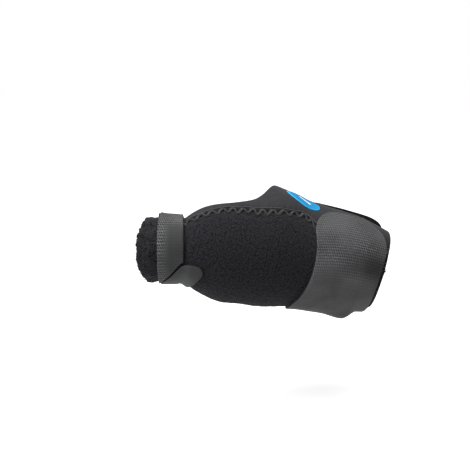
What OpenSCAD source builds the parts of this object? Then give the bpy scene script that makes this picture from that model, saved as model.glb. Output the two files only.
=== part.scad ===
// Left thumb and wrist splint in its worn shape: neoprene laminate panels round the wrist, the base of
// the thumb and the thumb itself, closed by a wide wrist strap and a narrow thumb strap.
// Frame: the origin is the centre of the wrist opening, +X runs along the hand to the forearm,
// -Y is the thumb side and +Z is the palm side. Lengths are in millimetres.

/* [Fit] */
// Width of the wrist inside the splint, from thumb side to little-finger side
wrist_w = 50; // [48:1:52]
// Thickness of the wrist inside the splint, from back to palm
wrist_t = 33.6; // [32.4:0.4:35.2]
// Diameter of the thumb inside its sleeve
thumb_d = 23.2; // [22.4:0.2:24]

/* [Laminate] */
// Thickness of the terry lining against the skin
lining_t = 0.8; // [0.6:0.1:1]
// Thickness of the neoprene foam core
foam_t = 2.2; // [1.8:0.1:2.4]
// Thickness of the outer fabric
face_t = 0.6; // [0.4:0.1:0.7]

/* [Wrist strap] */
// Length of the wrist strap's free end past its last fold line, as an angle round the wrist
wrist_tip_arc = 79; // [72:1:80]
// Thickness of the hook tape under the free ends of the straps
hook_t = 0.7; // [0.6:0.1:0.9]

/* [Thumb strap] */
// Width of the thumb strap
thumb_strap_w = 13; // [12:0.5:13.5]

/* [Straps] */
// Thickness of a strap's foam
strap_foam_t = 1.2; // [1:0.1:1.4]
// Thickness of a strap's outer fabric
strap_face_t = 0.5; // [0.4:0.1:0.6]

/* [Stitching] */
// Radius of the sewing thread
thread_r = 0.2; // [0.2:0.05:0.25]
// Length of one zigzag stitch along the seam
stitch_pitch = 4.4; // [4:0.2:5]

/* [Hidden] */

// Depths of the layers, measured outwards from the skin.
foam_in = lining_t;
face_in = foam_in + foam_t;
body_out = face_in + face_t;
thread_air = 0.06;                      // air under a stitch
seam_air = 0.4;                         // the same on the long seams, whose stitches bridge curved cloth
hook_air = 0.3;                         // air on both sides of a hook tape
hook_in = body_out + hook_air;
strap_in = body_out + max(2 * thread_r + seam_air + 0.5, hook_t + 2 * hook_air);
strap_mid = strap_in + strap_foam_t;
strap_out = strap_mid + strap_face_t;
wrap_in = body_out + 2 * thread_r + thread_air + 0.34;
wrap_mid = wrap_in + 1.1;
wrap_out = wrap_mid + 0.4;
root_drop = strap_in - hook_in;         // the strap lies down on the panel where it is sewn
label_t = 0.4;

// Sections of the thumb, hand and wrist: [x, y, z of the centre, half width, half thickness, roll, tilt].
// Roll turns the palm side towards the thumb side. Tilt leans the section with the slope of the forearm.
thumb_y = -26;
thumb_z = 16.5;
thumb_r = thumb_d / 2;
wrist_tilt = 17.5;
function on_thumb(x) = [x, thumb_y, thumb_z, thumb_r, thumb_r, 14, 0];
SECTIONS = [
    on_thumb(-124),
    on_thumb(-108),
    on_thumb(-97),
    on_thumb(-94.5),
    [-92.5, -25.7, 16.3, thumb_r + 0.6, thumb_r + 0.8, 15, 0.5],
    [-89, -24.2, 15.8, 14.8, 15.4, 17, 1.5],
    [-83, -20.6, 15.4, 19.2, 19.1, 19, 3],
    [-75, -15.6, 15, 24.3, 22.3, 22, 5],
    [-64, -11, 15, 28, 23.7, 23, 8],
    [-51.5, -6.5, 13.9, 30.2, 24.9, 23, 11],
    [-37.5, -3.5, 10.3, 28.8, 21.5, 21, 15],
    [-20, -1.5, 6.3, 26.8, 20.6, 18, 17],
    [0, 0, 0, wrist_w / 2, wrist_t / 2, 16, wrist_tilt],
    [10, 0.5, -10 * tan(wrist_tilt), wrist_w / 2, wrist_t / 2 - 0.8, 16, wrist_tilt]
];

// Outline of the panels: [x, angle] round the sections. Angle 0 faces the thumb side, 90 the palm.
sleeve_rim = -114;                      // open end of the thumb sleeve
sleeve_end = -95.5;                     // where the sleeve meets the panels
rim_x = 1.4;                            // the wrist opening
dorsal_seam = -105;
seam_gap = 1.2;                         // degrees left open between the panels
joint_gap = 0.15;                       // air between the sleeve and the panels
panel_x = sleeve_end + joint_gap;
PALMAR_SEAM = [[-97, 86], [-86, 84], [-78, 83], [-68, 79.5], [-58, 76], [-50, 77], [-43, 81.5], [-38, 77],
               [-33, 69], [-26, 66], [3, 65]];
OPENING_EDGE = [[-97, 112], [-89, 107], [-81.6, 96.6], [-75, 90.5], [-68.5, 89.6], [-63.5, 92.3], [-60, 100],
                [-57.7, 110], [-55, 122]];
opening_back = 232;                     // the hand opening's edge on the back of the hand
opening_corner_x = -55;
opening_bulge = 10;                     // how far the opening's wrist end curves past its corners

// Wrist strap: its hand edge as [angle, x], and its ends and fold lines as angles round the wrist.
STRAP_EDGE = [[-240, -36], [-180, -37], [-120, -40], [-60, -41], [-40, -40.2], [-24, -38.4], [-9, -35.6],
              [3, -34.2], [20, -33.2], [40, -33.6], [54, -35], [66, -36.2], [96, -36]];
strap_right = 0.2;
root_end = -239;
strap_fold = -84;
tip_fold = 15;
tip_end = tip_fold + wrist_tip_arc;
fold_gap = 1.4;                         // degrees between the two sides of a fold line
hook_angles = [24, 56];

// Thumb strap: the edge where its turn round the thumb begins as [x, angle], and the two edges of its free
// end as [angle, x, x].
wrap_right = -93.5;
wrap_left = wrap_right - thumb_strap_w;
wrap_end = 261.6;
WRAP_START = [[-107.5, -70], [-105.6, -52.5], [-103.2, -37], [-101, -26.5], [-97.8, -13], [-94.8, -2.8],
              [-92.5, 4]];
FLAP_EDGES = [[-97, -106.2, -93.7], [-75, -106.2, -92.8], [-55, -105.2, -91.3], [-39, -102.9, -89.6],
              [-28, -100.6, -87.9], [-15, -97.4, -86], [-5, -94.4, -84.4], [8, -90.6, -83.2]];
flap_start = -97;
flap_end = 6;
flap_hook_from = sleeve_end + 2;        // its hook tape lies past the sleeve's stitches
flap_hook_angles = [-26, -5];
strap_reach = 6;

function lerp(a, b, t) = a + (b - a) * t;
function unit(v) = v / norm(v);

// Smooth curve through rows that start with x, all columns at once.
function slope(t, k) = let (a = max(k - 1, 0), b = min(k + 1, len(t) - 1))
    (t[b] - t[a]) / (t[b][0] - t[a][0]);
function row_before(t, x, k = 0) = (k >= len(t) - 2 || x < t[k + 1][0]) ? k : row_before(t, x, k + 1);
function through(t, x) = let (
    k = row_before(t, x),
    width = t[k + 1][0] - t[k][0],
    s = (x - t[k][0]) / width,
    s2 = s * s,
    s3 = s2 * s
) t[k] * (2 * s3 - 3 * s2 + 1) + t[k + 1] * (3 * s2 - 2 * s3)
    + slope(t, k) * width * (s3 - 2 * s2 + s) + slope(t, k + 1) * width * (s3 - s2);

// A point of the skin, the direction out of it, and the point at a depth outside it.
function skin(x, angle) = let (
    s = through(SECTIONS, x),
    up = [sin(s[6]), 0, cos(s[6])],
    near = [0, -1, 0],
    to_thumb = near * cos(s[5]) - up * sin(s[5]),
    to_palm = up * cos(s[5]) + near * sin(s[5])
) [s[0], s[1], s[2]] + to_thumb * s[3] * cos(angle) + to_palm * s[4] * sin(angle);
// A strap that bridges the flare below the thumb takes the direction over a longer reach.
function outward(x, angle, reach) =
    unit(cross(skin(x + reach, angle) - skin(x - reach, angle), skin(x, angle + 1) - skin(x, angle - 1)));
function at_depth(p, depth, reach = 0.4) =
    skin(p[0], p[1]) + outward(p[0], p[1], reach) * (depth - (is_undef(p[2]) ? 0 : p[2]));

// Sheet of laminate over a grid of [x, angle, drop] points, between two depths. Rows run towards +X and
// columns towards the palm.
module sheet(grid, inner, outer, reach = 0.4) {
    rows = len(grid);
    cols = len(grid[0]);
    n = rows * cols;
    function id(i, j, side) = side * n + i * cols + j;
    function two(a, b, c, d, flip) = flip ? [[a, b, c], [a, c, d]] : [[c, b, a], [d, c, a]];
    skins = [for (i = [0:rows - 2]) for (j = [0:cols - 2]) for (side = [0, 1])
        for (f = two(id(i, j, side), id(i + 1, j, side), id(i + 1, j + 1, side), id(i, j + 1, side),
                     side == 0)) f];
    ends = [for (i = [0, rows - 1]) for (j = [0:cols - 2])
        for (f = two(id(i, j, 0), id(i, j + 1, 0), id(i, j + 1, 1), id(i, j, 1), i == 0)) f];
    sides = [for (j = [0, cols - 1]) for (i = [0:rows - 2])
        for (f = two(id(i, j, 0), id(i + 1, j, 0), id(i + 1, j, 1), id(i, j, 1), j != 0)) f];
    polyhedron(
        points = [for (depth = [outer, inner]) for (row = grid) for (p = row) at_depth(p, depth, reach)],
        faces = concat(skins, ends, sides)
    );
}

// Grids of the body panels. The palmar panel runs in a U round the hand opening.
function radial_grid(rows = 22, cols = 12) = [for (i = [0:rows])
    let (x = lerp(panel_x, rim_x, i / rows))
    [for (j = [0:cols]) [x, lerp(dorsal_seam, through(PALMAR_SEAM, x)[1] - seam_gap, j / cols)]]];
palm_side = [for (i = [0:7]) lerp(panel_x, opening_corner_x, i / 8)];
seam_side = [for (i = [0:10]) lerp(opening_corner_x, rim_x, i / 11)];
rim_side = [for (i = [0:16]) i / 16];
function palm_edge(x) = through(PALMAR_SEAM, x);
function back_edge(x) = [x, dorsal_seam + 360 - seam_gap];
function reversed(v) = [for (i = [len(v) - 1:-1:0]) v[i]];
outer_edge = concat(
    [for (x = palm_side) palm_edge(x)],
    [for (x = seam_side) palm_edge(x)],
    [for (t = rim_side) lerp(palm_edge(rim_x), back_edge(rim_x), t)],
    [for (x = reversed(seam_side)) back_edge(x)],
    [for (x = reversed(palm_side)) back_edge(x)]
);
turn_steps = len(outer_edge) - 2 * len(palm_side) - 1;
opening_edge = concat(
    [for (x = palm_side) through(OPENING_EDGE, x)],
    [for (i = [0:turn_steps]) let (t = i / turn_steps)
        [opening_corner_x + opening_bulge * sin(180 * t),
         lerp(through(OPENING_EDGE, opening_corner_x)[1], opening_back, t)]],
    [for (x = reversed(palm_side)) [x, opening_back]]
);
function palmar_grid(cols = 8) = [for (i = [0:len(outer_edge) - 1])
    [for (j = [0:cols]) lerp(outer_edge[i], opening_edge[i], j / cols)]];

// Grids of the wrist strap. Only the free end is rounded, more on the forearm side.
function rounded(w, left, right) = (w < 0 ? left : right) * (1 - sqrt(max(0, 1 - pow(abs(w), 3))));
function wrist_grid(start, stop, cols, drop = 0, round = [0, 0], rows = 8) = [for (i = [0:rows])
    let (w = 2 * i / rows - 1, end = stop - rounded(w, round[0], round[1]))
    [for (j = [0:cols]) let (angle = lerp(start, end, j / cols))
        [lerp(through(STRAP_EDGE, angle)[1], strap_right, i / rows), angle,
         drop * max(0, 1 - 2 * j / cols)]]];
function root_grid() = wrist_grid(root_end, strap_fold - fold_gap, 18, root_drop);
function strap_grid() = wrist_grid(strap_fold, tip_fold - fold_gap, 11);
function tip_grid() = wrist_grid(tip_fold, tip_end, 13, 0, [30, 58], 14);
function hook_grid(rows = 10, cols = 10) = [for (i = [0:rows]) [for (j = [0:cols])
    let (angle = lerp(hook_angles[0], hook_angles[1], j / cols))
    [lerp(through(STRAP_EDGE, angle)[1] + 1.5, strap_right - 1.5, i / rows), angle]]];

// Grids of the thumb strap: the turn round the thumb, cut back where its free end comes out, and that
// free end, laid obliquely up on to the radial panel.
wrap_full = 40;                         // past this angle the strap has its full width
function wrap_grid(rows = 8, cut_cols = 9, full_cols = 26) = [for (i = [0:rows])
    let (x = lerp(wrap_left, wrap_right, i / rows), start = through(WRAP_START, x)[1])
    concat([for (j = [0:cut_cols - 1]) [x, lerp(start, wrap_full, j / cut_cols)]],
           [for (j = [0:full_cols]) [x, lerp(wrap_full, wrap_end, j / full_cols)]])];
function flap_edge(angle, side) = through(FLAP_EDGES, angle)[side];
tip_middle = 0.6;                       // where across its width the free end reaches furthest
function flap_tip(u) = let (w = (u - tip_middle) / (u < tip_middle ? tip_middle : 1 - tip_middle))
    flap_end - (u < tip_middle ? 12 : 9) * (1 - sqrt(max(0, 1 - pow(abs(w), 2.5))));
function flap_grid(rows = 8, cols = 16) = [for (i = [0:rows]) [for (j = [0:cols])
    let (u = i / rows, angle = lerp(flap_start, flap_tip(u), j / cols))
    [lerp(flap_edge(angle, 1), flap_edge(angle, 2), u), angle]]];
function flap_hook_grid(rows = 5, cols = 6) = [for (i = [0:rows]) [for (j = [0:cols])
    let (angle = lerp(flap_hook_angles[0], flap_hook_angles[1], j / cols))
    [lerp(flap_hook_from, flap_edge(angle, 2) - 1.4, i / rows), angle]]];

// Oval on the palmar panel, from a square grid. Its long axis slopes across the panel.
label_centre = [-42.3, 105.5];
label_half = [9.2, 5.9];
label_slope = -40;
label_arc = 0.575;                      // millimetres per degree under the label
function label_grid(steps = 8) = [for (i = [0:steps]) [for (j = [0:steps])
    let (a = 2 * i / steps - 1, b = 2 * j / steps - 1,
         u = label_half[0] * a * sqrt(1 - b * b / 2), v = label_half[1] * b * sqrt(1 - a * a / 2))
    label_centre + [u * cos(label_slope) - v * sin(label_slope),
                    (u * sin(label_slope) + v * cos(label_slope)) / label_arc]]];

// Thread laid on the panels through a list of points, going down into the cloth at each point.
dip = 0.7;
module thread_leg(a, b) {
    d = b - a;
    translate(a)
        rotate([0, acos(d[2] / norm(d)), atan2(d[1], d[0])])
            translate([0, 0, dip])
                cylinder(r = thread_r, h = norm(d) - 2 * dip, $fn = 24);
}
module thread(points, depth, air = thread_air) {
    path = [for (p = points) at_depth(p, depth + thread_r + air)];
    for (i = [0:len(path) - 2]) thread_leg(path[i], path[i + 1]);
}
zigzag = 4.6;                           // half width of the seam stitches, in degrees at mid hand
function seam_points(seam, start, stop) = let (legs = 2 * round((stop - start) / stitch_pitch))
    [for (i = [0:legs]) let (x = lerp(start, stop, i / legs), r = through(SECTIONS, x)[4] + body_out)
        [x, (seam == 0 ? through(PALMAR_SEAM, x)[1] : dorsal_seam) - seam_gap / 2
            + (i % 2 == 0 ? 1 : -1) * zigzag * 29 / r]];

// Layers of the laminate on each body panel.
module radial_face() color("#24262a") sheet(radial_grid(), face_in, body_out);
module radial_foam() color("#101012") sheet(radial_grid(), foam_in, face_in);
module radial_lining() color("#2c2c30") sheet(radial_grid(), 0, foam_in);
module palmar_face() color("#3c3b3f") sheet(palmar_grid(), face_in, body_out);
module palmar_foam() color("#101012") sheet(palmar_grid(), foam_in, face_in);
module palmar_lining() color("#2c2c30") sheet(palmar_grid(), 0, foam_in);

// The thumb sleeve is a true round tube, so that the thumb mount has a real wall.
module tube(inner, outer) {
    translate([sleeve_rim, thumb_y, thumb_z])
        rotate([0, 90, 0])
            difference() {
                cylinder(r = outer, h = sleeve_end - sleeve_rim, $fn = 96);
                translate([0, 0, -1]) cylinder(r = inner, h = sleeve_end - sleeve_rim + 2, $fn = 96);
            }
}
module thumb_sleeve_face() color("#2a282c") tube(thumb_r + face_in, thumb_r + body_out);
module thumb_sleeve_foam() color("#101012") tube(thumb_r + foam_in, thumb_r + face_in);
module thumb_sleeve_lining() color("#2c2c30") tube(thumb_r, thumb_r + foam_in);

// Stitching of the three body seams.
module palmar_seam_stitches() color("#4a4a4e")
    thread(seam_points(0, sleeve_end + 2.4, rim_x - 1.5), body_out, seam_air);
module dorsal_seam_stitches() color("#4a4a4e")
    thread(seam_points(1, sleeve_end + 2.4, rim_x - 1.5), body_out, seam_air);
module sleeve_seam_stitches() color("#4a4a4e")
    thread([for (i = [0:44])
        [sleeve_end + joint_gap / 2 + (i % 2 == 0 ? 0.9 : -0.9), lerp(-126, 108, i / 44)]], body_out);

// Wrist strap: the sewn end, the part across the thumb side and the free end with its hook tape.
module wrist_root_face() color("#4a4a4c") sheet(root_grid(), strap_mid, strap_out);
module wrist_root_foam() color("#101012") sheet(root_grid(), strap_in, strap_mid);
module wrist_root_stitches() color("#77777a") {
    near = root_end + 2.5;
    far = root_end + 13;
    left = STRAP_EDGE[0][1] + 2.4;
    right = strap_right - 2;
    box = [[left, near], [right, near], [right, far], [left, far], [left, near]];
    depth = strap_out - root_drop;
    for (k = [0:3])
        thread([for (i = [0:6]) let (p = lerp(box[k], box[k + 1], lerp(0.02, 0.98, i / 6)))
            [p[0], p[1],
             -root_drop * (1 - max(0, 1 - 2 * (p[1] - root_end) / (strap_fold - root_end)))]], depth);
}
module wrist_strap_face() color("#505052") sheet(strap_grid(), strap_mid, strap_out);
module wrist_strap_foam() color("#101012") sheet(strap_grid(), strap_in, strap_mid);
module wrist_tip_face() color("#5a5a5c") sheet(tip_grid(), strap_mid, strap_out);
module wrist_tip_foam() color("#101012") sheet(tip_grid(), strap_in, strap_mid);
module wrist_tip_hook() color("#1b1b1d") sheet(hook_grid(), hook_in, strap_in - hook_air - 0.2);

// Thumb strap: the turn round the sleeve and the free end with its hook tape.
module thumb_wrap_face() color("#606062") sheet(wrap_grid(), wrap_mid, wrap_out, strap_reach);
module thumb_wrap_foam() color("#101012") sheet(wrap_grid(), wrap_in, wrap_mid, strap_reach);
module thumb_flap_face() color("#515152") sheet(flap_grid(), wrap_mid, wrap_out, strap_reach);
module thumb_flap_foam() color("#101012") sheet(flap_grid(), wrap_in, wrap_mid, strap_reach);
module thumb_flap_hook() color("#1b1b1d")
    sheet(flap_hook_grid(), body_out + 0.22, wrap_in - 0.12, strap_reach);

module palm_label() color("#1290dc") sheet(label_grid(), body_out + 0.12, body_out + 0.12 + label_t);

radial_face();
radial_foam();
radial_lining();
palmar_face();
palmar_foam();
palmar_lining();
thumb_sleeve_face();
thumb_sleeve_foam();
thumb_sleeve_lining();
palmar_seam_stitches();
dorsal_seam_stitches();
sleeve_seam_stitches();
wrist_root_face();
wrist_root_foam();
wrist_root_stitches();
wrist_strap_face();
wrist_strap_foam();
wrist_tip_face();
wrist_tip_foam();
wrist_tip_hook();
thumb_wrap_face();
thumb_wrap_foam();
thumb_flap_face();
thumb_flap_foam();
thumb_flap_hook();
palm_label();
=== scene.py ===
"""Left thumb and wrist splint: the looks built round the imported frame.

Every cloth piece is laid on the same form as the CAD part: a point is given by x in millimetres along the
limb, an angle round it, and a depth out of the skin.
"""

import math

import bpy
import numpy as np
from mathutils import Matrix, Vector


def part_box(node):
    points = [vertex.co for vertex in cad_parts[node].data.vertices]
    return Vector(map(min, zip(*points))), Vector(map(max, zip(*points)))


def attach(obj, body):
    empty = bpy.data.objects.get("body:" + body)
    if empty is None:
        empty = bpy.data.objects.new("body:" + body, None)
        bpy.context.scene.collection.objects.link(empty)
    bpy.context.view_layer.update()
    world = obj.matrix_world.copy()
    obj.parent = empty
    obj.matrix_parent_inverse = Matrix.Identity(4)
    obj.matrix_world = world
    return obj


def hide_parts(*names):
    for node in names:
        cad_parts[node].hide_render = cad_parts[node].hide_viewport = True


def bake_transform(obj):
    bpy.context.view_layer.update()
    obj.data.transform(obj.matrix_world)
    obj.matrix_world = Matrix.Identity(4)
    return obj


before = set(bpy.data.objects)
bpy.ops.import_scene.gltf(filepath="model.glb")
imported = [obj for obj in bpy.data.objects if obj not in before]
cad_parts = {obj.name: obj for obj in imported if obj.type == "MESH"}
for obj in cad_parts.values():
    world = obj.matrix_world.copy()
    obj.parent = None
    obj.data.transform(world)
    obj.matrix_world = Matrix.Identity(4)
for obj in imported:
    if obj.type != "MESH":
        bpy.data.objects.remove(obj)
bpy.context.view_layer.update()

MM = 0.001


def node_box(node):
    """Lowest and highest corner of a CAD node, in millimetres."""
    low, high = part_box(node)
    return np.array(low) / MM, np.array(high) / MM


# ---------------------------------------------------------------- the form

sleeve_low, sleeve_high = node_box("thumb_sleeve_lining")
sleeve_rim = sleeve_low[0]
sleeve_end = sleeve_high[0]
lining_t = 0.8
foam_t = 2.2
face_t = 0.6
thumb_r = (sleeve_high[1] - sleeve_low[1]) / 2 - lining_t
thumb_y = (sleeve_high[1] + sleeve_low[1]) / 2
thumb_z = (sleeve_high[2] + sleeve_low[2]) / 2
thumb_roll = 14
wrist_half_w = 25
wrist_half_t = 16.8
wrist_roll = 16
wrist_tilt = 17.5


def on_thumb(x):
    """A round section of the thumb sleeve."""
    return [x, thumb_y, thumb_z, thumb_r, thumb_r, thumb_roll, 0]


wrist_drop = math.tan(math.radians(wrist_tilt))  # of the limb's middle line, past the wrist

# x, y and z of the centre, half width, half thickness, roll towards the thumb side, tilt: changed in steps
# until the form's outline met points read off the photo
SECTIONS = np.array([
    on_thumb(-124),
    on_thumb(-108),
    on_thumb(-97),
    on_thumb(-94.5),
    [-92.5, -25.7, 16.3, thumb_r + 0.6, thumb_r + 0.8, 15, 0.5],
    [-89, -24.2, 15.8, 14.8, 15.4, 17, 1.5],
    [-83, -20.6, 15.4, 19.2, 19.1, 19, 3],
    [-75, -15.6, 15, 24.3, 22.3, 22, 5],
    [-64, -11, 15, 28, 23.7, 23, 8],
    [-51.5, -6.5, 13.9, 30.2, 24.9, 23, 11],
    [-37.5, -3.5, 10.3, 28.8, 21.5, 21, 15],
    [-20, -1.5, 6.3, 26.8, 20.6, 18, 17],
    [-9, -0.6, 2.9, 25.7, 19.8, 16.7, 17.4],
    [0, 0, 0, wrist_half_w, wrist_half_t, wrist_roll, wrist_tilt],
    [10, 0.5, -10 * wrist_drop, wrist_half_w, wrist_half_t - 0.8, wrist_roll, wrist_tilt],
])

rim_x = 1.4
joint_gap = 0.15  # between sleeve and panels, in millimetres
seam_gap = 0.2  # from each panel to the seam line, in degrees
layer_air = 0.01  # between the layers of the laminate
panel_x = sleeve_end + joint_gap
wrap_left = -106.5  # edges of the thumb strap
wrap_right = -93.5
dorsal_seam = -105
opening_back = 232
opening_corner_x = -55
opening_bulge = 10
# x and angle along the palm seam, and along the thumb side of the hand opening. Where the photo shows them,
# these rows and those of the straps' edges follow points of the photo, which a scratch program laid on the
# form
PALMAR_SEAM = np.array([[-97, 86], [-86, 84], [-78, 83], [-68, 79.5], [-58, 76], [-50, 77], [-43, 81.5],
                        [-38, 77], [-33, 69], [-26, 66], [3, 65]])
OPENING_EDGE = np.array([[-97, 112], [-89, 107], [-81.6, 96.6], [-75, 90.5], [-68.5, 89.6], [-63.5, 92.3],
                         [-60, 100], [-57.7, 110], [-55, 122]])

foam_in = lining_t
face_in = foam_in + foam_t
body_out = face_in + face_t


def lerp(a, b, t):
    """From a to b as t goes from 0 to 1."""
    return a + (b - a) * t


def unit(v):
    return v / np.linalg.norm(v, axis=-1, keepdims=True)


def through(rows, x):
    """Smooth curve through rows that start with x, every column at once."""
    rows = np.asarray(rows, float)
    x = np.asarray(x, float)
    last = len(rows) - 1
    before = np.clip(np.arange(last + 1) - 1, 0, last)
    after = np.clip(np.arange(last + 1) + 1, 0, last)
    slope = (rows[after] - rows[before]) / (rows[after] - rows[before])[:, :1]
    k = np.clip(np.searchsorted(rows[:, 0], x, side="right") - 1, 0, last - 1)
    width = (rows[k + 1, 0] - rows[k, 0])[..., None]
    s = (x[..., None] - rows[k][..., :1]) / width
    return (rows[k] * (2 * s**3 - 3 * s**2 + 1) + rows[k + 1] * (3 * s**2 - 2 * s**3)
            + slope[k] * width * (s**3 - 2 * s**2 + s) + slope[k + 1] * width * (s**3 - s**2))


def skin(x, angle):
    """Points of the skin, in millimetres."""
    x, angle = np.broadcast_arrays(np.asarray(x, float), np.asarray(angle, float))
    s = through(SECTIONS, x)
    tilt = np.radians(s[..., 6])
    roll = np.radians(s[..., 5:6])
    turn = np.radians(angle)[..., None]
    up = np.stack([np.sin(tilt), np.zeros_like(tilt), np.cos(tilt)], -1)
    near = np.array([0, -1.0, 0])
    to_thumb = near * np.cos(roll) - up * np.sin(roll)
    to_palm = up * np.cos(roll) + near * np.sin(roll)
    return s[..., :3] + to_thumb * s[..., 3:4] * np.cos(turn) + to_palm * s[..., 4:5] * np.sin(turn)


short_reach = 0.4  # millimetres each way


def outward(x, angle, reach=short_reach):
    """Direction out of the skin. A strap that bridges a hollow takes it over a longer reach."""
    along = skin(x + reach, angle) - skin(x - reach, angle)
    around = skin(x, angle + 1) - skin(x, angle - 1)
    return unit(np.cross(along, around))


def wrapped(angle):
    """The same angle between -180 and 180."""
    return (np.asarray(angle) + 180) % 360 - 180


def soft_step(t):
    t = np.clip(t, 0, 1)
    return t * t * (3 - 2 * t)


def bell(t):
    return np.exp(-(t**2))


# millimetres by which the worn cloth leaves the even form
corner_lift = 1.5
bone_lift = 0.75
bone_x = -11
rim_flare = 1.9
rim_tuck = 3.0
rim_cinch = 2.4


def settled(x, angle):
    """How far the worn cloth lies off the even form: the opening's corner is lifted, a bone low on the wrist
    pushes the strap out, and the wrist rim flares on the palm side and is drawn in elsewhere."""
    a = wrapped(angle)
    corner = corner_lift * bell((x - opening_corner_x + 0.5) / 3.6) * bell((a - OPENING_EDGE[-1, 1]) / 15)
    bone = bone_lift * bell((x - bone_x) / np.where(x < bone_x, 7.5, 4.5)) * bell((a + 50) / 20)
    flare = rim_flare * soft_step((x + 9) / 8) * bell((a - 86) / 30)
    tuck = rim_tuck * soft_step((x + 9.8) / 5.5) * bell((a + 52) / 34)
    cinched = rim_cinch * soft_step((x + 11) / 12) * bell((a - 8) / 36)
    return corner + bone + flare - tuck - cinched


def at_depth(x, angle, depth, reach=short_reach):
    """Points that many millimetres out of the skin, on the settled cloth."""
    x, angle, depth = np.broadcast_arrays(*(np.asarray(v, float) for v in (x, angle, depth)))
    return skin(x, angle) + outward(x, angle, reach) * (depth + settled(x, angle))[..., None]


def girth(x):
    """Millimetres of cloth per degree round the limb."""
    s = through(SECTIONS, x)
    return np.radians((s[..., 3] + s[..., 4]) / 2 + body_out)


# ---------------------------------------------------------------- noise for cloth relief

LATTICE = 256


def noise(u, v, cell, seed):
    """Smooth random relief from -1 to 1, with features about one cell across."""
    table = np.random.default_rng(seed).random((LATTICE, LATTICE)) * 2 - 1
    a, b = np.asarray(u) / cell, np.asarray(v) / cell
    i, j = np.floor(a).astype(int), np.floor(b).astype(int)
    fa, fb = a - i, b - j
    fa, fb = fa * fa * (3 - 2 * fa), fb * fb * (3 - 2 * fb)
    i0, j0, i1, j1 = i % LATTICE, j % LATTICE, (i + 1) % LATTICE, (j + 1) % LATTICE
    low = lerp(table[i0, j0], table[i1, j0], fa)
    high = lerp(table[i0, j1], table[i1, j1], fa)
    return lerp(low, high, fb)


def rough(u, v, cell, seed, octaves=3):
    """Noise of several sizes, each half the one before."""
    total = np.zeros(np.broadcast(u, v).shape)
    for k in range(octaves):
        total += noise(u, v, cell / 2**k, seed + k) / 2**k
    return total


def border(shape, steps, sides):
    """How deep each grid point lies inside the listed sides, 0 at the cut and 1 past that many steps."""
    rows, cols = shape
    i, j = np.arange(rows)[:, None], np.arange(cols)[None, :]
    far = np.full(shape, float(max(rows, cols)))
    distance = {"start": i, "end": rows - 1 - i, "low": j, "high": cols - 1 - j}
    for side in sides:
        far = np.minimum(far, distance[side])
    return np.clip(far / steps, 0, 1)


def rounding(depth_in, radius):
    """Drop of a rounded cut edge, from border()'s 0 to 1."""
    return radius * (1 - np.sqrt(np.clip(1 - (1 - depth_in) ** 2, 0, 1)))


# ---------------------------------------------------------------- meshes


def make_mesh(name, points, quads, uv, material, sharp=None):
    """A smooth mesh object from arrays: points in millimetres, quads, and a cloth position per point. Edges
    between two points with the same number in sharp are marked sharp."""
    quads = np.asarray(quads, np.int32)
    sides = quads.shape[1]
    mesh = bpy.data.meshes.new(name)
    mesh.vertices.add(len(points))
    mesh.vertices.foreach_set("co", (np.asarray(points) * MM).astype(np.float32).ravel())
    mesh.loops.add(quads.size)
    mesh.loops.foreach_set("vertex_index", quads.ravel())
    mesh.polygons.add(len(quads))
    mesh.polygons.foreach_set("loop_start", np.arange(0, quads.size, sides, dtype=np.int32))
    mesh.update(calc_edges=True)
    layer = mesh.uv_layers.new(name="cloth")
    layer.data.foreach_set("uv", np.asarray(uv, np.float32)[quads.ravel()].ravel())
    mesh.polygons.foreach_set("use_smooth", np.full(len(quads), True))
    if sharp is not None:
        ends = np.zeros(len(mesh.edges) * 2, np.int32)
        mesh.edges.foreach_get("vertices", ends)
        ends = ends.reshape(-1, 2)
        marked = (sharp[ends[:, 0]] > 0) & (sharp[ends[:, 0]] == sharp[ends[:, 1]])
        attribute = mesh.attributes.new("sharp_edge", "BOOLEAN", "EDGE")
        attribute.data.foreach_set("value", marked)
    mesh.materials.append(material)
    mesh.validate()
    obj = bpy.data.objects.new(name, mesh)
    bpy.context.scene.collection.objects.link(obj)
    return obj


def grid_quads(rows, cols, offset=0, flip=False):
    """The faces of a grid of points that starts at that offset."""
    i, j = np.meshgrid(np.arange(rows - 1), np.arange(cols - 1), indexing="ij")
    a = (i * cols + j).ravel() + offset
    quads = np.stack([a, a + cols, a + cols + 1, a + 1], 1)
    return quads[:, ::-1] if flip else quads


def loop_of(rows, cols):
    """The grid points round the border, in order."""
    top = [(0, j) for j in range(cols)]
    right = [(i, cols - 1) for i in range(1, rows)]
    bottom = [(rows - 1, j) for j in range(cols - 2, -1, -1)]
    left = [(i, 0) for i in range(rows - 2, 0, -1)]
    return np.array([i * cols + j for i, j in top + right + bottom + left])


def closed_sheet(name, outer, inner, uv, material):
    """A closed piece of cloth between two grids of points."""
    rows, cols = outer.shape[:2]
    n = rows * cols
    ring = loop_of(rows, cols)
    after = np.roll(ring, -1)
    wall = np.stack([ring, after, after + n, ring + n], 1)
    quads = np.concatenate([
        grid_quads(rows, cols),
        grid_quads(rows, cols, n, flip=True),
        wall,
    ])
    points = np.concatenate([outer.reshape(-1, 3), inner.reshape(-1, 3)])
    flat = np.concatenate([uv.reshape(-1, 2), uv.reshape(-1, 2)])
    sharp = np.zeros(2 * n, int)
    sharp[ring] = 1
    sharp[ring + n] = 2
    return make_mesh(name, points, quads, flat, material, sharp)


def cloth_uv(x, angle):
    """Cloth position in millimetres: along the limb, and round it."""
    x, angle = np.broadcast_arrays(np.asarray(x, float), np.asarray(angle, float))
    return np.stack([x, angle * girth(x)], -1)


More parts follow.
